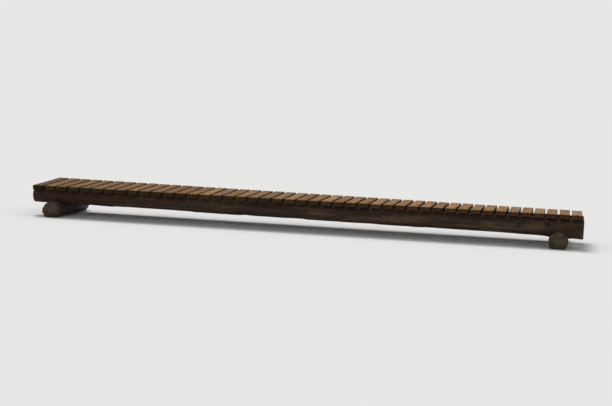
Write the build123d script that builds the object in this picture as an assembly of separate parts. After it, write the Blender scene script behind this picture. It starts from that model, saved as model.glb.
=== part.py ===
"""A low footbridge for a small stream: sawn boards laid across two tapered logs.

Millimetres. +X runs along the bridge, +Y across it, +Z up.
The origin is at the middle of the span, on the ground under the sills.
"""

import math
import os

from build123d import *

# Deck boards, sawn to one section and laid with open joints
board_width = 89
board_thickness = 38
board_length = 800
board_gap = 19
board_edge = 2.5

# Hand cutting: how far a board's length and place across the bridge stray,
# and the angle in radians that each board's stray value moves on from the last one's
board_length_spread = 5
board_length_turn = 4.1
board_slip = 6
board_slip_turn = 2.4

# Log stringers, one under each side of the deck, with their butts at opposite ends
stringer_length = 4877
stringer_spacing = 520
butt_diameter = 178
tip_diameter = 147
butt_flare = 7
flare_length = 700
near_bow = 16
far_bow = -11

# Wood hewn off the top of each log to make a flat for the boards
butt_hewn = 12
tip_hewn = 21

# How far each butt end lifts its side of the deck, and each tip end drops it
deck_twist_rise = 7

# Sills, the short logs that carry the stringers and lie on the ground
sill_length = 940
sill_diameter = 172
sill_taper = 12
sill_hewn = 24
sill_inset = 210

# Depth of the saddle under a log's tip; its butt sits deeper
tip_notch = 34

# Room between a piece and what it sits on
seat_clearance = 0.3

# Rings along a log that its skin is ruled between
log_rings = 13

half_span = stringer_length / 2
half_spacing = stringer_spacing / 2
board_pitch = board_width + board_gap
board_count = int((stringer_length + board_gap) // board_pitch)
sill_x = half_span - sill_inset
sill_centre_z = sill_diameter / 2 - sill_hewn
sill_height = sill_diameter - sill_hewn
tip_depth = tip_diameter - tip_hewn
deck_underside = sill_height - tip_notch + tip_depth + deck_twist_rise


def deck_height(x, y):
    """Height of the slightly twisted surface that the boards lie on."""
    return deck_underside - deck_twist_rise * (x / half_span) * (y / half_spacing)


def log_ring(share, butt_end, y, bow):
    """Where a log's heart is, and its radius, from the butt at share 0 to the tip at share 1."""
    flare = butt_flare * max(0, 1 - share * stringer_length / flare_length) ** 2
    radius = (butt_diameter + (tip_diameter - butt_diameter) * share) / 2 + flare
    hewn = butt_hewn + (tip_hewn - butt_hewn) * share
    x = butt_end * half_span * (1 - 2 * share)
    heart_z = deck_height(x, y) - seat_clearance + hewn - radius
    return (x, y + bow * math.sin(math.pi * share), heart_z), radius


def round_log(butt_end, y, bow, room=0):
    """A tapered log with a flared butt and a slight bow, its radius grown by the room asked for."""
    rings = []
    for index in range(log_rings):
        heart, radius = log_ring(index / (log_rings - 1), butt_end, y, bow)
        rings.append(Plane(origin=heart, x_dir=(0, 1, 0), z_dir=(1, 0, 0)) * Circle(radius + room))
    return loft(rings, ruled=True)


def space_over_logs():
    """All that is hewn off the logs. Its underside is the twisted surface, a seat's room lower down."""
    top = deck_underside + butt_diameter
    ends = []
    for x in (-stringer_length, stringer_length):
        low_y, high_y = -stringer_spacing, stringer_spacing
        corners = (
            (x, low_y, deck_height(x, low_y) - seat_clearance),
            (x, high_y, deck_height(x, high_y) - seat_clearance),
            (x, high_y, top),
            (x, low_y, top),
        )
        ends.append(make_face(Polyline(*corners, close=True)))
    return loft(ends, ruled=True)


def make_stringer(butt_end, y, bow):
    """One log, round below and hewn flat on top."""
    return round_log(butt_end, y, bow) - space_over_logs()


def make_sill(end, stringers):
    """A short log across one end, flat underneath, with a saddle scribed to each stringer."""
    butt = Plane(origin=(end * sill_x, -end * sill_length / 2, sill_centre_z), z_dir=(0, end, 0))
    upright = (Align.CENTER, Align.CENTER, Align.MIN)
    sill = butt * Cone(sill_diameter / 2, (sill_diameter - sill_taper) / 2, sill_length, align=upright)
    hanging = (Align.CENTER, Align.CENTER, Align.MAX)
    ground = Box(2 * sill_diameter, 2 * sill_length, sill_diameter, align=hanging)
    sill -= Pos(end * sill_x, 0, 0) * ground
    for butt_end, y, bow in stringers:
        sill -= round_log(butt_end, y, bow, seat_clearance)
    return sill


def make_board(index):
    """One deck board, rolled to the twist where it lies."""
    x = (index - (board_count - 1) / 2) * board_pitch
    rise = deck_height(x, half_spacing) - deck_height(x, -half_spacing)
    roll = math.degrees(math.atan2(rise, stringer_spacing))
    length = board_length + board_length_spread * math.sin(board_length_turn * index)
    slip = board_slip * math.sin(board_slip_turn * index)
    board = Box(board_width, length, board_thickness, align=(Align.CENTER, Align.CENTER, Align.MIN))
    board = chamfer(board.edges().filter_by(Axis.Y), board_edge)
    return Pos(x, slip, deck_height(x, 0)) * Rot(roll, 0, 0) * board


def main():
    os.makedirs("parts", exist_ok=True)
    near = (1, -half_spacing, near_bow)
    far = (-1, half_spacing, far_bow)
    export_step(make_stringer(*near), "parts/stringer_near.step")
    export_step(make_stringer(*far), "parts/stringer_far.step")
    export_step(make_sill(-1, (near, far)), "parts/sill_left.step")
    export_step(make_sill(1, (near, far)), "parts/sill_right.step")
    for index in range(board_count):
        export_step(make_board(index), f"parts/deck_board_{index + 1:02d}.step")


main()
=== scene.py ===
"""The looks of a log footbridge: weathered boards, peeled logs, nails, a pale studio and the camera."""

import random
from collections import namedtuple
from math import cos, pi, radians, sin
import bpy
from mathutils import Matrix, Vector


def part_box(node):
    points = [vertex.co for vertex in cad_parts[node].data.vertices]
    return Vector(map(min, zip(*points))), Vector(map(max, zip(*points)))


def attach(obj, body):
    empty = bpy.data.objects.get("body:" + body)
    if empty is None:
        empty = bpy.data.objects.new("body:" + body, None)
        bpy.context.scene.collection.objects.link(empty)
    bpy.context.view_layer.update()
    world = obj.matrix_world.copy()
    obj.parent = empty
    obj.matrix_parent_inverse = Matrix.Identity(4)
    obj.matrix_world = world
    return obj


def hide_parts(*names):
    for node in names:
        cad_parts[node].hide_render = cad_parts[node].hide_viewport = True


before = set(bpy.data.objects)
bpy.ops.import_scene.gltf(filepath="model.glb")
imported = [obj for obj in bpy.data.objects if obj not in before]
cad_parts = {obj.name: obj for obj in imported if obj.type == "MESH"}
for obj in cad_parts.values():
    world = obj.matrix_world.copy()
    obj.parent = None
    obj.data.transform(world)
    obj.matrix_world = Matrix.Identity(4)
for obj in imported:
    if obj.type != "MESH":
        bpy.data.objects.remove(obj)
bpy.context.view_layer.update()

from types import SimpleNamespace

import bpy
import numpy as np
from mathutils import Matrix, Vector
from mathutils.bvhtree import BVHTree

FULL_TURN = 2 * pi
DECK_NODES = sorted(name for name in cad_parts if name.startswith("deck_board_"))
STRINGERS = ("stringer_near", "stringer_far")
SILLS = ("sill_left", "sill_right")
DECK_HALF_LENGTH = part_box(DECK_NODES[-1])[1][0]


# Smooth random fields, the same on every run

# Factors that scatter a place and a seed over 32 bits, then shifts and factors that stir them
SCATTER_PLACE = (374761393, 668265263, 2147483629)
SCATTER_SEED = 1442695041
STIRS = ((13, 1274126177), (15, 2246822519), (16, 1))
LOW_32_BITS, LOW_24_BITS = np.uint64(0xFFFFFFFF), np.uint64(0xFFFFFF)


def lattice(place, seed):
    """A repeatable value from 0 to 1 for each whole-number place."""
    mixed = sum(p * np.uint64(factor) for p, factor in zip(place, SCATTER_PLACE))
    mixed = (mixed + np.uint64(seed * SCATTER_SEED)) & LOW_32_BITS
    for shift, factor in STIRS:
        mixed = ((mixed ^ (mixed >> np.uint64(shift))) * np.uint64(factor)) & LOW_32_BITS
    return (mixed & LOW_24_BITS).astype(float) / LOW_24_BITS


def field(x, y, z, seed):
    """Smooth noise from -1 to 1, its bumps about one unit apart."""
    never_negative = 100000
    places = np.broadcast_arrays(x, y, z)
    floors = [np.floor(p) for p in places]
    shares = [p - f for p, f in zip(places, floors)]
    eased = [s * s * (3 - 2 * s) for s in shares]
    corners = [(f + never_negative).astype(np.uint64) for f in floors]
    total = 0
    for step in np.ndindex(2, 2, 2):
        weight = 1
        for up, ease in zip(step, eased):
            weight = weight * (ease if up else 1 - ease)
        total = total + weight * lattice([c + np.uint64(up) for c, up in zip(corners, step)], seed)
    return 2 * total - 1


def rough_field(x, y, z, seed):
    """Noise from -1 to 1 with two layers of finer bumps laid over the coarse ones."""
    total = 0
    for layer, finer in enumerate((1, 2.03, 4.12)):
        total = total + field(x * finer, y * finer, z * finer, seed + layer) / 2 ** layer
    return total / (1 + 1 / 2 + 1 / 4)


def rise(low, high, value):
    """Rises smoothly from 0 at the first bound to 1 at the second, which may be the lower one."""
    share = np.clip((value - low) / (high - low), 0, 1)
    return share * share * (3 - 2 * share)


def stray(dice, reach):
    """A draw of up to so much either way."""
    return dice.uniform(-reach, reach)


# Closed meshes through loops of points

def skin(name, loops, attributes):
    """A closed mesh through loops of points; each of its two ends is drawn to one point."""
    count, around, _ = loops.shape
    points = np.concatenate([loops.reshape(-1, 3), [loops[0].mean(0), loops[-1].mean(0)]])
    here = np.arange(around)
    after = (here + 1) % around
    rows = np.arange(count - 1)[:, None] * around
    sides = np.stack([rows + here, rows + after, rows + around + after, rows + around + here], -1)
    first_point = np.full(around, count * around)
    last_row = (count - 1) * around
    first_end = np.stack([first_point, after, here], -1)
    last_end = np.stack([first_point + 1, last_row + here, last_row + after], -1)
    faces = sides.reshape(-1, 4).tolist() + first_end.tolist() + last_end.tolist()
    mesh = bpy.data.meshes.new(name)
    mesh.from_pydata(points.tolist(), [], faces)
    for key, values in attributes.items():
        wide = values.ndim == 3
        flat = values.reshape(-1, 3) if wide else values.reshape(-1)
        flat = np.concatenate([flat, [values[0].mean(0), values[-1].mean(0)]])
        layer = mesh.attributes.new(key, "FLOAT_VECTOR" if wide else "FLOAT", "POINT")
        layer.data.foreach_set("vector" if wide else "value", flat.astype(np.float32).reshape(-1))
    return mesh


def spread_to_caps(values, loops):
    """The values along a piece, with each end's repeated over the loops of its end face."""
    return np.concatenate([np.repeat(values[:1], loops, 0), values, np.repeat(values[-1:], loops, 0)])


def with_ends(near, between, far):
    """The values along a piece between those of its two end faces, each given from its middle out."""
    return [np.concatenate([one, middle, other[::-1]]) for one, middle, other in zip(near, between, far)]


def on_caps(values, loops):
    """1 on the loops of the two end faces, and 0 between them."""
    mask = np.zeros_like(values)
    mask[:loops] = mask[-loops:] = 1
    return mask


def put_in_scene(name, data):
    """A new object in the scene that shows the data."""
    made = bpy.data.objects.new(name, data)
    bpy.context.scene.collection.objects.link(made)
    return made


def add_piece(mesh, material, slot, *nodes):
    """Puts a mesh in the scene as a piece that rides on the bridge, in place of the nodes named."""
    mesh.materials.append(material)
    mesh.shade_smooth()
    piece = put_in_scene(mesh.name, mesh)
    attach(piece, "root")
    if nodes:
        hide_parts(*nodes)


# Deck boards

# A board's mesh: the step along it, its columns on top, round an edge (in degrees), on a side and
# underneath, and the rings of an end face
BOARD_STEP = 0.009
TOP_COLUMNS = 12
EDGE_TURNS = (22.5, 45, 67.5, 90)
SIDE_SHARES, UNDERSIDE_SHARES = (0.5, 0.0, -0.5), (0.6, 0.2, -0.2, -0.6)
BOARD_CAP_SHARES = np.array([0.25, 0.55, 0.82, 1.0])

# The bevel round an end, and a long edge: its radius, its deepest chips on top and underneath, and
# what feet take off it
ARRIS = 0.0014
EDGE_ROUND = 0.0030
TOP_CHIP, LOW_CHIP, EDGE_TREAD = 0.0045, 0.0020, 0.0018

# Wear of the top: its hollows, what feet take off, and how far it cups down or up; then the depth of
# the saw's marks on the sides and the ends
TOP_HOLLOW, TOP_TREAD = 0.0006, 0.0009
CUPPED_DOWN, CUPPED_UP = -0.0010, 0.0006
SIDE_SAW_MARKS, END_SAW_MARKS = 0.0004, 0.0005

# Splits: where they may open across the top, from -1 to 1, how many do, how far they reach from an end
# or a place near the middle, their size, the depth at which their painted shade is black, and how far
# they sink an end
SPLIT_PLACES = (-0.62, -0.3, 0.05, 0.37, 0.66)
SPLIT_COUNTS = (1, 2, 2, 3)
END_SPLIT_REACHES, MIDDLE_SPLIT_REACHES = (0.06, 0.5), (0.12, 0.35)
SPLIT_WIDTHS, SPLIT_DEPTHS = (0.0010, 0.0032), (0.003, 0.010)
SPLIT_BLACK_DEPTH = 0.003
SPLIT_GAPE = 0.0016

# Knots: the chances that a board has a first and a second one, and their radii
KNOT_CHANCES = (0.6, 0.3)
KNOT_RADII = (0.005, 0.013)

# Half the width of the track that feet wear, and how far in from the left end the deck is darker
TRACK_HALF_WIDTH = 0.24
LEFT_DARKENING_REACH = 1.3

# How far a nail is from a board's long edge, how far it strays, and half the size of its stain
NAIL_INSET = 0.021
NAIL_STRAY_ACROSS, NAIL_STRAY_ALONG = 0.005, 0.016
STAIN_ACROSS, STAIN_ALONG = 0.008, 0.024

BoardFrame = namedtuple("BoardFrame", "centre across along up half_width half_length half_thick")
Split = namedtuple("Split", "place width depth drift")


def board_frame(node):
    """Where a board lies: its centre, its three directions and half its three sizes."""
    places = np.array([vertex.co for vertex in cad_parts[node].data.vertices])
    centre = (places.max(0) + places.min(0)) / 2
    along = places[places[:, 1] > centre[1]].mean(0) - places[places[:, 1] < centre[1]].mean(0)
    along = along / np.linalg.norm(along)
    across = np.eye(3)[0]
    up = np.cross(across, along)
    local = (places - centre) @ np.stack([across, along, up]).T
    return BoardFrame(centre, across, along, up, *((local.max(0) - local.min(0)) / 2))


def plan_nails(boards):
    """Where each nail goes through its board, across and along it: two over each log."""
    dice = random.Random(77)
    nails = []
    for board in boards:
        spots = []
        for log in STRINGERS:
            heart_y = (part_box(log)[0][1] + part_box(log)[1][1]) / 2
            for side in (-1, 1):
                across = side * (board.half_width - NAIL_INSET) + stray(dice, NAIL_STRAY_ACROSS)
                along = heart_y - board.centre[1] + stray(dice, NAIL_STRAY_ALONG)
                spots.append((across, along))
        nails.append(spots)
    return nails


def worn_edges(along, tread, seed):
    """The radius of each of a board's four long edges at each loop: softened, trodden and chipped."""
    waver = 0.35
    rounds = []
    for corner in range(4):
        wave = rough_field(along / 0.05, corner * 9.3, 1.7, seed)
        chip = rise(0.42, 0.75, field(along / 0.06, corner * 5.1, 3.3, seed + 3))
        on_top = corner in (0, 3)
        wear = EDGE_TREAD * tread + TOP_CHIP * chip if on_top else LOW_CHIP * chip
        rounds.append(EDGE_ROUND * (1 + waver * wave) + wear)
    return rounds


def plan_splits(dice, along, half_length, seed):
    """Splits that run in from a board's ends, or open along its middle."""
    in_the_middle, from_middle, from_place, wander = 0.3, 0.2, 0.05, 0.0022
    splits = []
    for place in sorted(dice.sample(SPLIT_PLACES, dice.choice(SPLIT_COUNTS))):
        place += stray(dice, from_place)
        end = dice.choice((-1, 1))
        shape = rise(dice.uniform(*END_SPLIT_REACHES), 0, half_length - end * along)
        if dice.random() < in_the_middle:
            middle = stray(dice, from_middle)
            shape = rise(dice.uniform(*MIDDLE_SPLIT_REACHES), 0, np.abs(along - middle))
        drift = wander * field(along / 0.09, place * 10, 0.5, seed + 5)
        width, depth = dice.uniform(*SPLIT_WIDTHS), dice.uniform(*SPLIT_DEPTHS)
        splits.append(Split(place, width * shape, depth * shape, drift))
    return splits


def top_columns(splits):
    """The columns across a board's top, from -1 to 1: evenly spread, with three at each split."""
    columns = []
    clear_of_split = 0.09
    for share in np.linspace(-1, 1, TOP_COLUMNS):
        crowded = any(abs(share - split.place) < clear_of_split for split in splits)
        if abs(share) == 1 or not crowded:
            columns.append((share, None, 0))
    for split in splits:
        columns += [(split.place, split, part) for part in (-1, 0, 1)]
    return sorted(columns, key=lambda column: (column[0], column[2]))


def board_outline(board, rounds, splits):
    """A board's section at each loop, clockwise from its top left edge: across, up and split depth."""
    lip_gap = 0.00015
    count = len(rounds[0])
    outline = []

    def add(across, up, depth=0.0):
        outline.append([np.broadcast_to(value, count) for value in (across, up, depth)])

    left, right = rounds[3], rounds[0]
    for share, split, part in top_columns(splits):
        across = left - board.half_width + (share + 1) / 2 * (2 * board.half_width - left - right)
        if split is None:
            add(across, board.half_thick)
            continue
        across = across + split.drift + part * (split.width / 2 + lip_gap)
        depth = split.depth if part == 0 else 0.0
        add(across, board.half_thick - depth, depth)
    corners = ((1, 1, 90), (1, -1, 0), (-1, -1, -90), (-1, 1, 180))
    for (side, top, begin), radius in zip(corners, rounds):
        last_corner = (side, top) == (-1, 1)
        for turn in EDGE_TURNS[:-1] if last_corner else EDGE_TURNS:
            angle = radians(begin - turn)
            across = side * (board.half_width - radius) + radius * cos(angle)
            add(across, top * (board.half_thick - radius) + radius * sin(angle))
        if side == top:
            for share in SIDE_SHARES:
                add(side * board.half_width, side * share * board.half_thick)
        elif side > top:
            for share in UNDERSIDE_SHARES:
                add(share * board.half_width, -board.half_thick)
    return [np.stack(values, 1) for values in zip(*outline)]


def board_end(end, across, up, depth, board, seed):
    """A sawn end face, as rings that grow from its middle: across, up and along."""
    shares = BOARD_CAP_SHARES[:, None]
    across = across * np.where(shares == 1, 1 - ARRIS / board.half_width, shares)
    up = up * np.where(shares == 1, 1 - ARRIS / board.half_thick, shares)
    saw_marks = END_SAW_MARKS * (1 + rough_field(across / 0.006, up / 0.02, end, seed + 17))
    opened = np.where(shares == 1, 0.0, SPLIT_GAPE) * np.minimum(depth / SPLIT_BLACK_DEPTH, 1)
    return across, up, end * (board.half_length - saw_marks - opened)


def board_knots(dice, board, wide, long):
    """Each point's way from two knots, across and along, and their radii; an absent one is far off."""
    far_off = 1.0
    knots = []
    for chance in KNOT_CHANCES:
        across, along = stray(dice, 0.8) * board.half_width, stray(dice, 0.95) * board.half_length
        radius = dice.uniform(*KNOT_RADII)
        if dice.random() >= chance:
            across, along = far_off, far_off
        knots.append(np.stack([wide - across, long - along, np.full_like(wide, radius)], -1))
    return knots


def weathered(dice, number, board, across, up, along, tread, seed):
    """A board's section after years outside: cupped, trodden hollow, and saw-marked on its long sides."""
    on_top = rise(board.half_thick - 0.003, board.half_thick - 0.0005, up)
    cupped = dice.uniform(CUPPED_DOWN, CUPPED_UP)
    from_middle = (across / board.half_width) ** 2
    bent = 1 - from_middle if cupped < 0 else from_middle
    sink = TOP_HOLLOW * (1 + rough_field(across / 0.03, along[:, None] / 0.2, number, seed + 11))
    up = up - on_top * (sink + abs(cupped) * bent + TOP_TREAD * tread[:, None])
    saw_marks = 1 + rough_field(along[:, None] / 0.02, up / 0.01, np.sign(across), seed + 13)
    return across * (1 - SIDE_SAW_MARKS * saw_marks / board.half_width), up


def place_in_tree(dice, number, wide, long, high):
    """Where each point of a board lay in its tree, whose heart runs a little askew beside the board."""
    heart_stray, nearest, furthest, lean = 0.05, 0.02, 0.09, 0.02
    along_the_tree = 3.1 * number
    heart_wide = stray(dice, heart_stray)
    heart_high = dice.choice((-1, 1)) * dice.uniform(nearest, furthest)
    lean_wide, lean_high = stray(dice, lean), stray(dice, lean)
    from_heart = wide - heart_wide + lean_wide * long
    above_heart = high - heart_high + lean_high * long
    return np.stack([from_heart, long + along_the_tree, above_heart], -1)


def nail_stains(nails, board, wide, long, high):
    """How far the rust of each nail has stained the wood, down to the board's middle."""
    stains = np.zeros_like(wide)
    for nail_across, nail_along in nails:
        away_across, away_along = (wide - nail_across) / STAIN_ACROSS, (long - nail_along) / STAIN_ALONG
        stain = np.exp(-away_across ** 2 - away_along ** 2)
        stains = np.maximum(stains, stain * rise(0, board.half_thick, high))
    return stains


def mossy(points, board, long):
    """How likely each point is to be mossy: in patches, more to the left and by the boards' ends."""
    patch, anywhere = 0.28, 0.25
    to_the_left = rise(-0.6, -2.2, points[..., 0])
    by_the_end = rise(0.17, 0.0, board.half_length - np.abs(long))
    patches = rise(-0.1, 0.6, rough_field(*(points[..., i] / patch for i in range(3)), 5))
    for place in (to_the_left, by_the_end):
        patches = patches * (anywhere + (1 - anywhere) * place)
    return patches


def board_tint(dice, board):
    """How much lighter, warmer and wetter a board is than others; the boards are lighter towards the
    right and darker near the left end.
    """
    spread, right_lightening = 0.8, 0.4
    lighter_to_right = right_lightening * board.centre[0] / DECK_HALF_LENGTH
    darker_to_left = rise(LEFT_DARKENING_REACH, 0, board.centre[0] + DECK_HALF_LENGTH)
    return stray(dice, 1) * spread + lighter_to_right - darker_to_left, dice.uniform(0, 1), dice.random() ** 2


def make_board(number, node, board, nails, material):
    """One weathered board with worn and chipped edges, splits, knots and stains round its nails."""
    dice = random.Random(1000 + number)
    seed = 40 + 7 * number
    steps = round(2 * board.half_length / BOARD_STEP)
    along = np.linspace(-board.half_length, board.half_length, steps + 1)
    along[0] += ARRIS
    along[-1] -= ARRIS
    tread = np.exp(-((board.centre[1] + along) / TRACK_HALF_WIDTH) ** 2)
    splits = plan_splits(dice, along, board.half_length, seed)
    across, up, depth = board_outline(board, worn_edges(along, tread, seed), splits)
    across, up = weathered(dice, number, board, across, up, along, tread, seed)

    caps = len(BOARD_CAP_SHARES)
    columns = across.shape[1]
    near = board_end(-1, across[0], up[0], depth[0], board, seed)
    far = board_end(1, across[-1], up[-1], depth[-1], board, seed)
    wide, high, long = with_ends(near, (across, up, np.repeat(along[:, None], columns, 1)), far)
    points = wide[..., None] * board.across + long[..., None] * board.along + high[..., None] * board.up
    points = points + board.centre
    grain = place_in_tree(dice, number, wide, long, high)
    knot_one, knot_two = board_knots(dice, board, wide, long)
    attributes = {
        "grain_at": grain,
        "knot_one": knot_one,
        "knot_two": knot_two,
        "tint": np.broadcast_to(board_tint(dice, board), wide.shape + (3,)),
        "end_face": on_caps(wide, caps),
        # How deep a split is, which sets its painted shade
        "split": spread_to_caps(np.clip(depth / SPLIT_BLACK_DEPTH, 0, 1), caps),
        "nail_stain": nail_stains(nails, board, wide, long, high),
        "moss": mossy(points, board, long),
        "tread": spread_to_caps(np.repeat(tread[:, None], columns, 1), caps),
        "edge": rise(0.012, 0.0, board.half_width - np.abs(wide)),
        # Depth below the top edge, which carries the painted shade of the gap walls and undersides
        "shaded": rise(board.half_thick - 0.0006, board.half_thick - 0.005, high),
    }
    add_piece(skin(node + "_wood", points, attributes), material, "deck_wood", node)


# Nails

# A head's radius, its profile as shares of that and heights, and how deep and askew it sits
HEAD_RADIUS = 0.0048
HEAD_PROFILE = ((1.0, 0.0), (1.0, 0.0030), (0.8, 0.0036), (0.35, 0.0039))
HEAD_POINTS = 12
HEAD_SUNK, HEAD_LEAN = 0.0041, 0.1


def make_nails(boards, nails, material):
    """All the nail heads as one mesh: low domes, driven down into the boards and a little askew."""
    dice = random.Random(78)
    around = range(HEAD_POINTS)
    turns = [FULL_TURN * i / HEAD_POINTS for i in around]
    points, faces = [], []
    for board, spots in zip(boards, nails):
        for across, along in spots:
            lean_across, lean_along = stray(dice, HEAD_LEAN), stray(dice, HEAD_LEAN)
            seat = board.centre + across * board.across + along * board.along
            seat = seat + (board.half_thick - HEAD_SUNK) * board.up
            start = len(points)
            for share, height in HEAD_PROFILE:
                for angle in turns:
                    x, y = share * HEAD_RADIUS * cos(angle), share * HEAD_RADIUS * sin(angle)
                    z = height + lean_across * x + lean_along * y
                    points.append(seat + x * board.across + y * board.along + z * board.up)
            top = len(points) - HEAD_POINTS
            for low in range(start, top, HEAD_POINTS):
                for i in around:
                    j = (i + 1) % HEAD_POINTS
                    faces.append((low + i, low + j, low + HEAD_POINTS + j, low + HEAD_POINTS + i))
            faces.append([top + i for i in around])
            faces.append([start + i for i in reversed(around)])
    mesh = bpy.data.meshes.new("deck_nails")
    mesh.from_pydata([tuple(point) for point in points], [], faces)
    add_piece(mesh, material, "nail_iron")


# Logs

# The two kinds of log: the axis it lies along, what carries it, its mesh, the twist of its grain
# in radians a metre, its knots and checks, and the share of bark left on it
LogLook = namedtuple("LogLook", "slot axis seats step columns twist knots long_checks end_checks bark")
STRINGER_LOOK = LogLook(slot="log_wood", axis=0, seats=SILLS, step=0.009, columns=104, twist=0.07,
                        knots=44, long_checks=10, end_checks=6, bark=0.44)
SILL_LOOK = LogLook(slot="sill_wood", axis=1, seats=(), step=0.008, columns=96, twist=0.3,
                    knots=9, long_checks=5, end_checks=6, bark=0.5)

# An end face: its rings, how far it lies inside the solid's, its bevel and saw marks, and how far its
# pith may be from its middle
LOG_CAP_SHARES = np.array([0.06, 0.16, 0.28, 0.4, 0.52, 0.64, 0.76, 0.87, 0.96])
END_GAP = 0.0004
LOG_ARRIS = 0.003
LOG_SAW_MARKS = 0.0009
PITH_STRAY = 0.013

# How deep the peeled skin lies inside the solid, so that bark and knots have room to stand up, how much
# closer it lies over a sill, and how far beyond half a sill's breadth that fades
PEELED_DEPTH = 0.0058
SEAT_SHARE = 0.85
SEAT_FADE = 0.03

# Relief of the skin: how deep, broad and long its bumps are, and what it adds to the seed
Relief = namedtuple("Relief", "depth broad long seed")
FLUTES = Relief(0.0030, 0.045, 0.6, 0)
FIBRES = Relief(0.0013, 0.011, 0.14, 4)
BARK_PATCHES = Relief(0.5, 0.07, 0.55, 8)
BARK_STRINGS = Relief(0.0018, 0.012, 0.09, 14)
BARK_THICKNESS = 0.0045

# The hewn flat: the height of its adze marks, and how deep it lies
ADZE_MARKS, HEWN_DEPTH = 0.0010, 0.0011

# Knots: their radii, heights and length for their breadth, and how far they keep from the ends
LOG_KNOT_RADII, LOG_KNOT_HEIGHTS = (0.009, 0.022), (0.0025, 0.0056)
LOG_KNOT_STRETCH = 1.35
LOG_KNOT_CLEAR = 0.03

# Drying checks: their widths and depths, how far they reach from an end as a share of the log, the
# depth at which their painted shade is black, and how far they sink an end face
LONG_CHECK_WIDTHS, LONG_CHECK_DEPTHS = (0.002, 0.007), (0.008, 0.022)
END_CHECK_WIDTHS, END_CHECK_DEPTHS = (0.002, 0.004), (0.006, 0.014)
END_CHECK_REACHES = (0.02, 0.07)
CHECK_BLACK_DEPTH = 0.004
CHECK_GAPE = 0.011

UP = np.eye(3)[2]
Check = namedtuple("Check", "column begin end width depth")


def log_tree(node):
    """The solid of a log, for measuring from its heart out to its skin."""
    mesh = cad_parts[node].data
    faces = [face.vertices[:] for face in mesh.polygons]
    return BVHTree.FromPolygons([vertex.co for vertex in mesh.vertices], faces)


def distance(tree, origin, direction):
    """How far the log's skin is from a place inside it."""
    return tree.ray_cast(Vector(origin), Vector(direction))[3]


def outward(angle, side):
    """The direction out of a log at each angle round it."""
    return np.cos(angle)[..., None] * side + np.sin(angle)[..., None] * UP


def log_hearts(tree, places, axis, heart, side):
    """A log's heart and radius at each place along it, from its sides and a stringer's underside."""
    hearts, radii = [], []
    for place in places:
        heart = heart.copy()
        heart[axis] = place
        for _ in range(3):
            left, right = distance(tree, heart, -side), distance(tree, heart, side)
            radius = (left + right) / 2
            heart += side * (right - left) / 2
            if axis == 0:
                heart -= UP * (distance(tree, heart, -UP) - radius)
        hearts.append(heart)
        radii.append(radius)
    return np.array(hearts), np.array(radii)


def plan_checks(dice, look):
    """The drying cracks: long ones that run with the grain, and short ones that open at a sawn end."""
    count = look.long_checks + look.end_checks
    order = list(range(count))
    dice.shuffle(order)
    checks = []
    for number, spot in enumerate(order):
        column = int((spot + dice.uniform(0.25, 0.75)) / count * look.columns)
        if number < look.long_checks:
            begin = dice.uniform(-0.15, 0.75)
            end = begin + dice.uniform(0.2, 0.6)
            widths, depths = LONG_CHECK_WIDTHS, LONG_CHECK_DEPTHS
        else:
            reach = dice.uniform(*END_CHECK_REACHES)
            begin, end = (-reach, reach) if number % 2 else (1 - reach, 1 + reach)
            widths, depths = END_CHECK_WIDTHS, END_CHECK_DEPTHS
        checks.append(Check(column, begin, end, dice.uniform(*widths), dice.uniform(*depths)))
    return checks


def open_checks(checks, angle, along, radii, columns, seed):
    """Draws the columns beside each check together, and returns how far open and how deep it is there."""
    lip_gap, wander = 0.0003, 0.3
    length = along[-1]
    opened, groove = np.zeros(angle.shape), np.zeros(angle.shape)
    column_step = FULL_TURN / columns
    for check in checks:
        middle, half = (check.begin + check.end) / 2 * length, (check.end - check.begin) / 2 * length
        shape = rise(1, 0.25, np.abs(along - middle) / half)
        drift = wander * column_step * field(along / 0.12, check.column * 0.31, 0, seed + 21)
        heart_line = angle[:, check.column] + drift
        half_angle = (check.width * shape / 2 + lip_gap) / radii
        angle[:, check.column] = heart_line
        for step in (-1, 1):
            beside = (check.column + step) % columns
            turns = round((angle[0, beside] - heart_line[0]) / FULL_TURN)
            angle[:, beside] = heart_line + step * half_angle + turns * FULL_TURN
        opened[:, check.column] = np.clip(check.depth * shape / CHECK_BLACK_DEPTH, 0, 1)
        groove[:, check.column] = check.depth * shape
    return opened, groove


def knot_relief(dice, look, angle, along, radii):
    """Knots over a log: how much each point is a knot, and how far the wood swells round it."""
    knot, swell = np.zeros(angle.shape), np.zeros(angle.shape)
    for _ in range(look.knots):
        place, turn = dice.uniform(LOG_KNOT_CLEAR, along[-1] - LOG_KNOT_CLEAR), dice.uniform(0, FULL_TURN)
        size, height = dice.uniform(*LOG_KNOT_RADII), dice.uniform(*LOG_KNOT_HEIGHTS)
        round_the_log = np.angle(np.exp(1j * (angle - turn))) * radii[:, None]
        away = np.hypot((along[:, None] - place) / LOG_KNOT_STRETCH, round_the_log)
        knot = np.maximum(knot, rise(size * 1.15, size * 0.55, away))
        dish = 0.4 * rise(size * 0.8, size * 0.2, away)
        swell = np.maximum(swell, height * (rise(size * 2.6, size * 0.9, away) - dish))
    return knot, swell


def on_seats(look, angle, places):
    """How much each point of a log is on its underside and over one of the pieces that carry it."""
    underside = rise(-0.25, -0.55, np.sin(angle))
    seated = np.zeros(angle.shape)
    for sill in look.seats:
        low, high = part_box(sill)
        middle, half = (low[0] + high[0]) / 2, (high[0] - low[0]) / 2
        over = rise(half + SEAT_FADE, half, np.abs(places - middle))
        seated = np.maximum(seated, over[:, None] * underside)
    return seated


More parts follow.
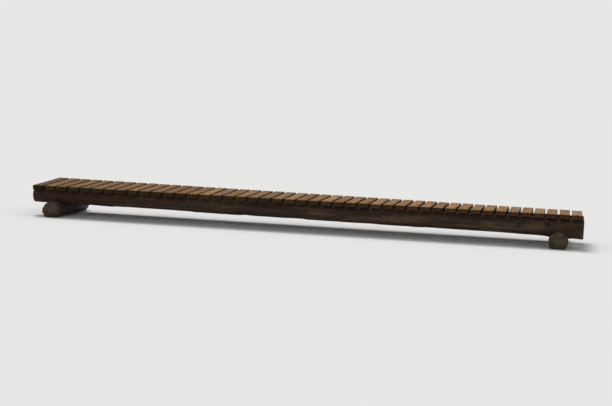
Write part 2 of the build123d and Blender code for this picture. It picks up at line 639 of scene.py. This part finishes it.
def log_relief(dice, look, angle, places, radii, solid, seed):
    """How far the wood stands out from the solid, and how much each point is hewn flat, bark or knot."""
    radius = radii[:, None]
    along = places - places[0]
    wide, high, long = radius * np.cos(angle), radius * np.sin(angle), along[:, None]

    def bumps(kind):
        broad = kind.broad
        return kind.depth * rough_field(wide / broad, high / broad, long / kind.long, seed + kind.seed)

    hewn = rise(0.002, 0.006, radius - solid)
    bark = rise(1 - look.bark, 1.04 - look.bark, 0.5 + bumps(BARK_PATCHES)) * (1 - hewn)
    bark_relief = BARK_THICKNESS + bumps(BARK_STRINGS)
    adze_marks = ADZE_MARKS * rough_field(wide / 0.04, high / 0.2, long / 0.035, seed + 16) - HEWN_DEPTH
    knot, swell = knot_relief(dice, look, angle, along, radii)
    peeled = bumps(FLUTES) + bumps(FIBRES) + bark * bark_relief + swell - PEELED_DEPTH
    peeled = peeled * (1 - SEAT_SHARE * on_seats(look, angle, places))
    return np.minimum(peeled * (1 - hewn) + adze_marks * hewn, 0), hewn, bark, knot


def log_end(end, reach, angle, opened, place, seed):
    """A sawn end face, as rings that grow from the heart: how far out and where along the log."""
    shares = LOG_CAP_SHARES[:, None]
    ring = reach * shares
    wide, high = ring * np.cos(angle), ring * np.sin(angle)
    saw_marks = LOG_SAW_MARKS * (1 + rough_field(wide / 0.05, high / 0.012, end, seed + 30))
    gape = CHECK_GAPE * opened * rise(0.1, 0.6, shares)
    return ring, place - end * (saw_marks + gape)


def make_log(node, look, hand, seed, material):
    """A peeled, weathered log over its solid, with checks, knots, strips of bark and sawn ends."""
    thinnest, next_log = 0.004, 5.3
    dice = random.Random(seed)
    tree = log_tree(node)
    low, high = (np.array(corner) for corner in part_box(node))
    axis = look.axis
    side = np.eye(3)[1 - axis]
    middle = (low + high) / 2
    if axis == 1:
        # A sill is flat underneath, so its heart is half its breadth below its top
        middle[2] = high[2] - (high[0] - low[0]) / 2
    rings = round((high[axis] - low[axis]) / look.step) + 1
    places = np.linspace(low[axis] + END_GAP, high[axis] - END_GAP, rings)
    along = places - places[0]
    hearts, radii = log_hearts(tree, places, axis, middle, side)
    even = FULL_TURN * np.arange(look.columns) / look.columns
    angle = even + hand * look.twist * (along[:, None] - along[-1] / 2)
    opened, groove = open_checks(plan_checks(dice, look), angle, along, radii, look.columns, seed)
    ways = outward(angle, side)
    solid = np.array([[distance(tree, heart, way) for way in row] for heart, row in zip(hearts, ways)])
    relief, hewn, bark, knot = log_relief(dice, look, angle, places, radii, solid, seed)
    reach = np.maximum(solid + relief - groove, thinnest)
    reach[[0, -1]] -= LOG_ARRIS

    caps = len(LOG_CAP_SHARES)
    near = log_end(-1, reach[0], angle[0], opened[0], places[0], seed)
    far = log_end(1, reach[-1], angle[-1], opened[-1], places[-1], seed)
    out, place = with_ends(near, (reach, np.repeat(places[:, None], look.columns, 1)), far)
    turn = spread_to_caps(angle, caps)
    points = spread_to_caps(hearts, caps)[:, None, :] + out[..., None] * outward(turn, side)
    share = np.concatenate([LOG_CAP_SHARES, np.ones(rings), LOG_CAP_SHARES[::-1]])[:, None]
    pith = stray(dice, PITH_STRAY) * side + stray(dice, PITH_STRAY) * UP
    points = points + (1 - share)[..., None] * pith
    points[..., axis] = place
    end_face = on_caps(out, caps)
    patches = rough_field(points[..., 0] / 0.2, points[..., 1] / 0.12, points[..., 2] / 0.1, 15)
    attributes = {
        "grain_at": np.stack([out * np.cos(turn), place + next_log * seed, out * np.sin(turn)], -1),
        "end_face": end_face,
        # How far a check is open, which sets its painted shade
        "split": spread_to_caps(opened, caps) * rise(0.1, 0.5, share),
        "knot": spread_to_caps(knot * (1 - hewn), caps) * (1 - end_face),
        "bark": spread_to_caps(bark, caps),
        "foot": rise(0.07, 0.0, points[..., 2]),
        "rim": rise(0.72, 0.92, out / spread_to_caps(radii[:, None], caps)),
        "moss": rise(-0.05, 0.55, patches),
    }
    if axis == 1:
        points = points[:, ::-1]
        attributes = {key: values[:, ::-1] for key, values in attributes.items()}
    add_piece(skin(node + "_wood", points, attributes), material, look.slot, node)


# Materials

class Shader:
    """The nodes of a material or a world being built, with one short call for each kind of node."""

    def __init__(self, owner):
        self.owner = owner
        owner.use_nodes = True
        self.tree = owner.node_tree
        self.tree.nodes.clear()

    def node(self, kind, values=(), **settings):
        """A node of one kind; its inputs are linked where the value is a socket, and set otherwise."""
        made = self.tree.nodes.new(kind)
        for key, value in settings.items():
            setattr(made, key, value)
        pairs = values.items() if isinstance(values, dict) else enumerate(values)
        for key, value in pairs:
            if isinstance(value, bpy.types.NodeSocket):
                self.tree.links.new(value, made.inputs[key])
            elif value is not None:
                made.inputs[key].default_value = value
        return made

    def attribute(self, name, output="Fac"):
        return self.node("ShaderNodeAttribute", attribute_name=name).outputs[output]

    def math(self, operation, *values, clamp=False):
        return self.node("ShaderNodeMath", values, operation=operation, use_clamp=clamp).outputs[0]

    def times(self, first, second, plus=None, clamp=False):
        """The product of two values, with a third added to it where one is given."""
        operation = "MULTIPLY" if plus is None else "MULTIPLY_ADD"
        return self.math(operation, first, second, plus, clamp=clamp)

    def vector(self, operation, *values):
        return self.node("ShaderNodeVectorMath", values, operation=operation).outputs[0]

    def length(self, vector):
        return self.node("ShaderNodeVectorMath", (vector,), operation="LENGTH").outputs["Value"]

    def split(self, vector):
        return self.node("ShaderNodeSeparateXYZ", (vector,)).outputs

    def noise(self, vector, stretch, detail=3.0, rough=0.55):
        values = {"Vector": self.vector("MULTIPLY", vector, stretch), "Scale": 1.0, "Detail": detail,
                  "Roughness": rough}
        return self.node("ShaderNodeTexNoise", values).outputs["Fac"]

    def remap(self, value, low, high, to_low=0.0, to_high=1.0):
        values = value, low, high, to_low, to_high
        return self.node("ShaderNodeMapRange", values, interpolation_type="SMOOTHSTEP").outputs[0]

    def blend(self, share, low, high, mode="MIX"):
        values = {0: share, 6: low, 7: high}
        return self.node("ShaderNodeMix", values, data_type="RGBA", blend_type=mode).outputs[2]

    def ramp(self, share, stops):
        made = self.node("ShaderNodeValToRGB", (share,))
        elements = made.color_ramp.elements
        while len(elements) < len(stops):
            elements.new(0.5)
        for element, (place, colour) in zip(elements, stops):
            element.position = place
            element.color = colour
        return made.outputs[0]

    def coats(self, base, *coats):
        """A colour with others laid over it in turn, each given with the share of it that covers."""
        for share, colour in coats:
            base = self.blend(share, base, colour)
        return base

    def relief(self, *bumps):
        """The normal of a surface with bumps laid over it, each a height, a strength and a distance."""
        normal = None
        for height, strength, distance in bumps:
            values = {"Strength": strength, "Distance": distance, "Height": height, "Normal": normal}
            normal = self.node("ShaderNodeBump", values).outputs[0]
        return normal

    def surface(self, colour, roughness, normal, **more):
        values = {"Base Color": colour, "Roughness": roughness, "Normal": normal, **more}
        bsdf = self.node("ShaderNodeBsdfPrincipled", values).outputs[0]
        self.node("ShaderNodeOutputMaterial", (bsdf,))
        return self.owner


def paint(*display):
    """A display colour from 0 to 255 as the linear colour that a shader takes."""
    shares = [value / 255 for value in display]
    return (*(v / 12.92 if v <= 0.04045 else ((v + 0.055) / 1.055) ** 2.4 for v in shares), 1.0)


def growth_rings(s, grain, spacing):
    """Growth rings round the tree's heart: 0 in soft early wood, rising to 1 in hard late wood."""
    wobble = s.noise(grain, (14, 0.9, 14), 2.0)
    radius = s.length(s.vector("MULTIPLY", grain, (1, 0, 1)))
    bent = s.times(wobble, 0.010, radius)
    uneven = s.times(s.math("SINE", s.times(bent, 210.0)), 0.0020, bent)
    share = s.math("FRACT", s.math("DIVIDE", uneven, spacing))
    return s.times(s.remap(share, 0.25, 0.88), s.remap(share, 0.9, 1.0, 1.0, 0.0))


def hairlines(s, value, width):
    """Thin dark cracks: 1 where a smooth noise passes its middle value, and 0 a little way off."""
    return s.remap(s.math("ABSOLUTE", s.math("SUBTRACT", value, 0.5)), width, 0.0)


Knot = namedtuple("Knot", "heart rim rings star push")


def board_knot(s, name):
    """How much a point is a knot's heart, rim, rings or cracks, and how far the knot pushes the grain."""
    across, along, radius = s.split(s.attribute(name, "Vector"))
    oval = s.node("ShaderNodeCombineXYZ", (across, s.times(along, 0.7))).outputs[0]
    ragged = s.noise(s.attribute(name, "Vector"), (240, 160, 0), 2.0)
    radii_off = s.math("DIVIDE", s.length(oval), radius)
    away = s.times(ragged, 0.35, radii_off)
    heart = s.remap(away, 1.25, 0.95)
    rim = s.times(s.remap(away, 0.85, 1.1), s.remap(away, 1.45, 1.15))
    bent = s.times(ragged, 0.15, radii_off)
    rings = s.times(heart, s.remap(s.math("SINE", s.times(bent, 30.0)), -0.2, 0.9))
    star = hairlines(s, s.noise(s.vector("NORMALIZE", oval), (2.3, 2.3, 0), 1.0), 0.05)
    star = s.times(s.times(star, heart), s.remap(away, 1.2, 0.8))
    push = s.times(s.times(across, s.remap(away, 4.0, 1.0)), -0.75)
    return Knot(heart, rim, rings, star, push)


# Colours of the deck: brown and silvered wood as stops of a ramp, then what is in it or on it; the gaps'
# grime, the sawn ends and the splits also carry painted shade
DECK_PAINT = SimpleNamespace(
    browns=((0.25, paint(120, 81, 47)), (0.5, paint(160, 116, 72)), (0.78, paint(194, 148, 99))),
    silvers=((0.25, paint(115, 96, 71)), (0.55, paint(157, 132, 100)), (0.8, paint(190, 166, 130))),
    # The sawn ends: dark end grain, darkened further as painted shade
    ends=((0.3, paint(58, 41, 26)), (0.7, paint(94, 69, 46))),
    rings=paint(103, 75, 51), end_rings=paint(46, 32, 22),
    fibres=paint(66, 48, 33), fuzz=paint(84, 62, 43), cracks=paint(54, 38, 26), splits=paint(26, 18, 12),
    knots=paint(104, 64, 38), knot_rings=paint(62, 37, 24), knot_rims=paint(46, 30, 21),
    trodden=paint(176, 141, 104), dirt=paint(76, 56, 38), grime_and_shade=paint(36, 26, 19), damp=paint(74, 54, 38),
    mildew=paint(58, 50, 42), moss=paint(88, 94, 46), rust=paint(46, 34, 28),
)
Pattern = namedtuple("Pattern", "rings fibres fuzz streaks clouds cracks")


def sawn_pattern(s, place, grain):
    """The patterns of a board: all follow the grain round its knots, apart from the clouds."""
    rings = growth_rings(s, grain, 0.0044)
    fibres = s.noise(grain, (420, 7, 420), 3.0, 0.6)
    fuzz = s.noise(grain, (1400, 30, 1400), 2.0, 0.6)
    streaks = s.noise(grain, (60, 1.6, 60), 4.0, 0.6)
    clouds = s.noise(place, (11, 3.2, 11), 4.0, 0.6)
    cracks = hairlines(s, s.noise(grain, (95, 1.3, 95), 3.0), 0.013)
    return Pattern(rings, fibres, fuzz, streaks, clouds, s.times(cracks, s.remap(clouds, 0.40, 0.58)))


def sawn_wood(s, pattern, knot, warmth, colours):
    """The colour of a board's top and sides: brown or silvered wood, its grain, wear and knots."""
    faded = s.remap(s.times(warmth, -0.36, pattern.clouds), 0.16, 0.58, 0.0, 0.8)
    return s.coats(
        s.ramp(pattern.streaks, colours.browns),
        (faded, s.ramp(pattern.streaks, colours.silvers)),
        (s.times(pattern.rings, 0.45), colours.rings),
        (s.remap(pattern.fibres, 0.60, 0.82, 0.0, 0.55), colours.fibres),
        (s.remap(pattern.fuzz, 0.50, 0.72, 0.0, 0.5), colours.fuzz),
        (s.times(pattern.cracks, 0.75), colours.cracks),
        (s.times(s.attribute("tread"), 0.25), colours.trodden),
        (s.times(knot.heart, 0.75), colours.knots),
        (s.times(knot.rings, 0.6), colours.knot_rings),
        (s.math("MAXIMUM", s.times(knot.rim, 0.8), knot.star), colours.knot_rims),
    )


def soiled_and_shaded_wood(s, base, pattern, place, colours):
    """A board's colour with mildew, dirt along its edges, its sawn ends darkened partly by painted shade,
    and grime with painted shade below the top, in the gaps and underneath.
    """
    clouds, end_face = pattern.clouds, s.attribute("end_face")
    specks = s.noise(place, (340, 190, 340), 4.0, 0.65)
    mildew = s.times(s.remap(specks, 0.56, 0.70), s.remap(clouds, 0.48, 0.7, 0.0, 0.7))
    dirt = s.times(s.attribute("edge"), s.remap(clouds, 0.35, 0.65, 0.2, 0.65))
    # The sawn ends: dark end grain, darkened further as painted shade
    ends = s.blend(s.times(pattern.rings, 0.5), s.ramp(pattern.streaks, colours.ends), colours.end_rings)
    # Grime and painted shade: the sides and undersides below the top edge are darkened, the sawn ends
    # less
    grime_and_shade = s.times(s.attribute("shaded"), s.remap(clouds, 0.3, 0.7, 0.7, 0.93))
    grime_and_shade = s.times(grime_and_shade, s.remap(end_face, 0.0, 1.0, 1.0, 0.3))
    base = s.coats(base, (mildew, colours.mildew), (dirt, colours.dirt))
    return s.coats(base, (end_face, ends), (grime_and_shade, colours.grime_and_shade))


def deck_material(colours):
    """Sawn boards gone brown and silver, with painted shade in the splits and grime and painted shade in
    the gaps, worn pale where feet go.
    """
    s = Shader(bpy.data.materials.new("weathered_boards"))
    light, warmth, wetness = s.split(s.attribute("tint", "Vector"))
    place = s.attribute("grain_at", "Vector")
    knots = board_knot(s, "knot_one"), board_knot(s, "knot_two")
    knot = Knot(*(s.math("ADD", one, two) for one, two in zip(*knots)))
    grain = s.vector("ADD", place, s.node("ShaderNodeCombineXYZ", (knot.push,)).outputs[0])
    pattern = sawn_pattern(s, place, grain)
    spots = s.noise(place, (70, 35, 70), 4.0, 0.7)
    moss = s.times(s.attribute("moss"), s.remap(spots, 0.46, 0.66), clamp=True)
    damp = s.times(wetness, s.remap(pattern.clouds, 0.42, 0.6, 0.0, 0.5))
    base = s.coats(
        soiled_and_shaded_wood(s, sawn_wood(s, pattern, knot, warmth, colours), pattern, place, colours),
        (s.times(moss, 0.75), colours.moss),
        (s.times(s.attribute("nail_stain"), 0.8), colours.rust),
        (damp, colours.damp),
    )
    # Each board's lightness multiplies its colour: random, lighter towards the right and darker near the
    # left end
    base = s.blend(1.0, base, s.times(light, 0.25, 1.0), "MULTIPLY")
    # Painted shade inside the splits, black where they are deep
    base = s.blend(s.attribute("split"), base, colours.splits)
    rough = s.times(damp, -0.5, s.times(pattern.fibres, 0.16, 0.74))
    normal = s.relief(
        (pattern.rings, 0.55, 0.0011),
        (pattern.fibres, 0.75, 0.0013),
        (pattern.fuzz, 0.5, 0.0005),
        (s.math("ADD", pattern.cracks, knot.star), 0.8, -0.0012),
        (knot.heart, 0.5, 0.0008),
        (s.times(moss, spots), 0.7, 0.003),
    )
    return s.surface(base, rough, normal, **{"Specular IOR Level": 0.04})


# Colours of the logs, and the share of each kind's moss that has grown
LogPaint = namedtuple("LogPaint", "dark wood pale bark_dark bark_pale mud grown")
STRINGER_PAINT = LogPaint(paint(30, 21, 15), paint(62, 46, 33), paint(104, 83, 62),
                          paint(24, 15, 11), paint(72, 43, 28), paint(34, 26, 19), 0.35)
SILL_PAINT = LogPaint(paint(30, 23, 17), paint(59, 46, 34), paint(95, 78, 59),
                      paint(25, 17, 12), paint(67, 43, 29), paint(40, 31, 22), 0.8)
# Moss on the logs, and the painted shade inside their checks
LOG_MOSS, PAINTED_CHECK_SHADE = paint(70, 76, 36), paint(14, 10, 7)


def log_end_wood(s, grain, clouds, colours):
    """The colour of a log's sawn ends, and how much each point is a crack out from the pith."""
    from_pith = s.vector("MULTIPLY", grain, (1, 0, 1))
    rays = hairlines(s, s.noise(s.vector("NORMALIZE", from_pith), (9, 1, 9), 3.0), 0.012)
    rays = s.times(rays, s.remap(s.length(from_pith), 0.008, 0.03))
    wood = s.coats(
        colours.pale,
        (s.times(growth_rings(s, grain, 0.0048), 0.8), colours.dark),
        (s.times(s.attribute("rim"), 0.45), colours.wood),
        (s.remap(clouds, 0.42, 0.66, 0.0, 0.5), colours.mud),
        (s.times(rays, 0.7), colours.bark_dark),
    )
    return wood, rays


def log_material(name, colours):
    """A peeled log: grey-brown fibres, dark checks with painted shade in the deep ones, dark knots,
    stringy bark in places, mud at the foot.
    """
    s = Shader(bpy.data.materials.new(name))
    grain = s.attribute("grain_at", "Vector")
    end_face = s.attribute("end_face")
    off_the_ends = s.math("SUBTRACT", 1.0, end_face)
    fibres = s.noise(grain, (240, 10, 240), 5.0, 0.68)
    streaks = s.noise(grain, (34, 1.7, 34), 4.0, 0.6)
    clouds = s.noise(grain, (9, 2.4, 9), 4.0, 0.6)
    tone = s.times(clouds, 0.45, s.times(streaks, 0.55))
    end_wood, rays = log_end_wood(s, grain, clouds, colours)
    cracks = s.times(hairlines(s, s.noise(grain, (46, 1.5, 46), 3.0), 0.012), off_the_ends)
    strings = s.noise(grain, (130, 6, 130), 5.0, 0.72)
    bark = (0.34, colours.bark_dark), (0.52, colours.bark_pale), (0.7, colours.bark_dark)
    ragged = s.times(s.remap(s.times(strings, 0.5, s.attribute("bark")), 0.62, 0.84), off_the_ends)
    spots = s.noise(grain, (50, 30, 50), 5.0, 0.7)
    moss = s.times(s.attribute("moss"), s.remap(spots, 0.45, 0.62), clamp=True)
    moss = s.times(moss, colours.grown)
    base = s.coats(
        s.ramp(tone, ((0.36, colours.dark), (0.5, colours.wood), (0.64, colours.pale))),
        (s.remap(fibres, 0.52, 0.68, 0.0, 0.8), colours.dark),
        (s.remap(fibres, 0.46, 0.32, 0.0, 0.55), colours.pale),
        (end_face, end_wood),
        (s.times(cracks, 0.8), colours.bark_dark),
        (ragged, s.ramp(strings, bark)),
        (s.times(s.attribute("knot"), 0.85), colours.bark_dark),
        (moss, LOG_MOSS),
        (s.times(s.attribute("foot"), s.remap(clouds, 0.3, 0.6, 0.45, 0.9)), colours.mud),
        # Painted shade inside the checks, black where they are deep
        (s.attribute("split"), PAINTED_CHECK_SHADE),
    )
    rough = s.times(fibres, 0.2, s.remap(clouds, 0.35, 0.65, 0.58, 0.80))
    normal = s.relief(
        (strings, s.times(ragged, 0.7, 0.1), 0.005),
        (fibres, 0.7, 0.0020),
        (s.math("ADD", cracks, rays), 0.8, -0.0015),
        (s.times(moss, spots), 0.8, 0.004),
    )
    return s.surface(base, rough, normal, **{"Specular IOR Level": 0.35})


RUST = ((0.3, paint(42, 27, 19)), (0.55, paint(84, 51, 33)), (0.8, paint(118, 80, 56)))


def nail_material():
    """Old wire nails, brown with rust."""
    s = Shader(bpy.data.materials.new("rusty_nails"))
    rust = s.noise(s.node("ShaderNodeTexCoord").outputs["Object"], (900, 900, 900), 4.0, 0.7)
    rough = s.remap(rust, 0.3, 0.8, 0.55, 0.9)
    return s.surface(s.ramp(rust, RUST), rough, s.relief((rust, 0.6, 0.0006)), Metallic=0.2)


# The studio: a pale floor that runs on into a backdrop of the same colour, a sky and one broad lamp

PALE = (0.80, 0.80, 0.79, 1.0)
FLOOR_REACH = 400

# The sky's share of the light, which adds up to 1 on level ground, so that colours show as written
SKY_SHARE = 0.5
LAMP_HEIGHT = radians(58)
LAMP_BEARING = radians(60)
LAMP_SOFTNESS = radians(28)


def make_floor():
    """A pale matt floor that keeps the bridge's shadow."""
    s = Shader(bpy.data.materials.new("pale_floor"))
    matt = s.node("ShaderNodeBsdfDiffuse", {"Color": PALE}).outputs[0]
    s.node("ShaderNodeOutputMaterial", (matt,))
    mesh = bpy.data.meshes.new("floor")
    corners = [(x * FLOOR_REACH, y * FLOOR_REACH, 0) for x, y in ((-1, -1), (1, -1), (1, 1), (-1, 1))]
    mesh.from_pydata(corners, [], [(0, 1, 2, 3)])
    mesh.materials.append(s.owner)
    floor = put_in_scene("floor", mesh)


def make_sky():
    """An even white sky; where it is seen or mirrored it has the floor's colour."""
    world = bpy.data.worlds.new("studio")
    bpy.context.scene.world = world
    s = Shader(world)
    white = {"Color": (1, 1, 1, 1), "Strength": SKY_SHARE}
    sky = s.node("ShaderNodeBackground", white).outputs[0]
    backdrop = s.node("ShaderNodeBackground", {"Color": PALE, "Strength": 1}).outputs[0]
    path = s.node("ShaderNodeLightPath").outputs
    seen = s.math("MAXIMUM", path["Is Camera Ray"], path["Is Glossy Ray"])
    mixed = s.node("ShaderNodeMixShader", (seen, sky, backdrop)).outputs[0]
    s.node("ShaderNodeOutputWorld", (mixed,))


def make_lamp():
    """One broad lamp high up behind the bridge and to its left, so its near side is in soft shade."""
    light = bpy.data.lights.new("lamp", "SUN")
    light.energy = (1 - SKY_SHARE) * pi / sin(LAMP_HEIGHT)
    light.angle = LAMP_SOFTNESS
    lamp = put_in_scene("lamp", light)
    level = cos(LAMP_HEIGHT)
    to_left, to_back = cos(LAMP_BEARING) * level, sin(LAMP_BEARING) * level
    towards = Vector((-to_left, to_back, sin(LAMP_HEIGHT)))
    lamp.rotation_mode = "QUATERNION"
    lamp.rotation_quaternion = towards.to_track_quat("Z", "Y")


# The photograph's view: where its lens was, how it was turned, dipped and rolled, and how long it was
EYE = Vector((2.27, -14.95, 1.45))
TURN_LEFT = radians(7.58)
DIP = radians(5.24)
ROLL = radians(2.86)
FOCAL_PX = 850
SENSOR_WIDTH_MM = 36
PHOTO_WIDTH_PX, PHOTO_HEIGHT_PX = 612, 406

# The bridge is small in that view, so the same view is narrowed to it
BRIDGE_MIDDLE_PX = (290, 193)
NARROWED = 2.0


def make_camera():
    """The photograph's own viewpoint, turned to the middle of the bridge with a longer lens."""
    level = Vector((cos(TURN_LEFT), sin(TURN_LEFT), 0))
    onward = Vector((-sin(TURN_LEFT), cos(TURN_LEFT), 0))
    ahead = cos(DIP) * onward - sin(DIP) * Vector((0, 0, 1))
    upright = level.cross(ahead)
    right = cos(ROLL) * level + sin(ROLL) * upright
    above = cos(ROLL) * upright - sin(ROLL) * level
    offset_x = (BRIDGE_MIDDLE_PX[0] - PHOTO_WIDTH_PX / 2) / FOCAL_PX
    offset_y = (PHOTO_HEIGHT_PX / 2 - BRIDGE_MIDDLE_PX[1]) / FOCAL_PX
    aim = (ahead + offset_x * right + offset_y * above).normalized()
    right = (right - right.dot(aim) * aim).normalized()
    above = right.cross(aim)
    data = bpy.data.cameras.new("camera")
    data.sensor_width = SENSOR_WIDTH_MM
    data.lens = NARROWED * FOCAL_PX * SENSOR_WIDTH_MM / PHOTO_WIDTH_PX
    data.clip_end = 2 * FLOOR_REACH
    camera = put_in_scene("camera", data)
    camera.rotation_mode = "QUATERNION"
    camera.rotation_quaternion = Matrix((right, above, -aim)).transposed().to_quaternion()
    camera.location = EYE
    bpy.context.scene.camera = camera


make_camera()
make_sky()
make_lamp()
make_floor()
boards = [board_frame(node) for node in DECK_NODES]
nails = plan_nails(boards)
weathered_wood = deck_material(DECK_PAINT)
for number, (node, board, spots) in enumerate(zip(DECK_NODES, boards, nails)):
    make_board(number, node, board, spots, weathered_wood)
make_nails(boards, nails, nail_material())
peeled_log = log_material("peeled_log", STRINGER_PAINT)
for node, hand, seed in zip(STRINGERS, (1, -1), (300, 317)):
    make_log(node, STRINGER_LOOK, hand, seed, peeled_log)
old_log = log_material("old_sill", SILL_PAINT)
for node, hand, seed in zip(SILLS, (1, -1), (500, 517)):
    make_log(node, SILL_LOOK, hand, seed, old_log)
bpy.context.scene.view_settings.view_transform = "Standard"

bpy.context.view_layer.update()
